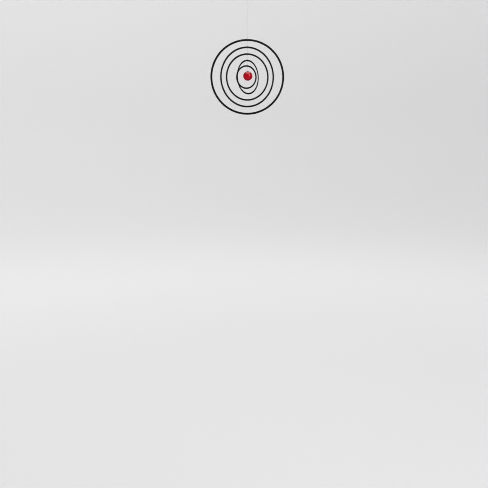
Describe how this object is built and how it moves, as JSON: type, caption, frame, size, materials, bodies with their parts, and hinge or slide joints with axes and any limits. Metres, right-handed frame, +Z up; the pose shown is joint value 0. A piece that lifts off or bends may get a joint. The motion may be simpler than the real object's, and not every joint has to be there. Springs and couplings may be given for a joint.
{
  "type": "hanging mobile",
  "caption": "Hanging mobile of concentric flat black rings that turn freely inside one another on short threads, with a glossy red ball hung at their centre.",
  "frame": {"origin": "where a hook bears, inside the top of the hanging thread's eye", "axes": "+Z up along the hanging thread, which is the line that every ring turns about; the outer ring lies in the XZ plane"},
  "size_m": [0.2414, 0.0753, 0.3835],
  "materials": {
    "ring": "satin black paint on thin sheet",
    "ball": "high gloss red",
    "thread": "fine clear grey nylon"
  },
  "bodies": {
    "hanger": {"hanging_thread": "thread"},
    "outer": {"outer_ring": "ring"},
    "second": {"second_ring_thread": "thread", "second_ring": "ring"},
    "third": {"third_ring_thread": "thread", "third_ring": "ring"},
    "fourth": {"fourth_ring_thread": "thread", "fourth_ring": "ring"},
    "inner": {"inner_ring_thread": "thread", "inner_ring": "ring", "ball_thread": "thread", "ball": "ball"}
  },
  "joints": [
    {"name": "outer_ring_turn", "type": "hinge", "parent": "hanger", "child": "outer", "pos_m": [0, 0, -0.142], "axis": [0, 0, 1], "continuous": true, "deforming": ["hanging_thread"]},
    {"name": "second_ring_turn", "type": "hinge", "parent": "outer", "child": "second", "pos_m": [0, 0, -0.1655], "axis": [0, 0, 1], "continuous": true, "deforming": ["second_ring_thread"]},
    {"name": "third_ring_turn", "type": "hinge", "parent": "second", "child": "third", "pos_m": [0, 0, -0.1869], "axis": [0, 0, 1], "continuous": true, "deforming": ["third_ring_thread"]},
    {"name": "fourth_ring_turn", "type": "hinge", "parent": "third", "child": "fourth", "pos_m": [0, 0, -0.20725], "axis": [0, 0, 1], "continuous": true, "deforming": ["fourth_ring_thread"]},
    {"name": "inner_ring_turn", "type": "hinge", "parent": "fourth", "child": "inner", "pos_m": [0, 0, -0.22483], "axis": [0, 0, 1], "continuous": true, "deforming": ["inner_ring_thread"]}
  ]
}
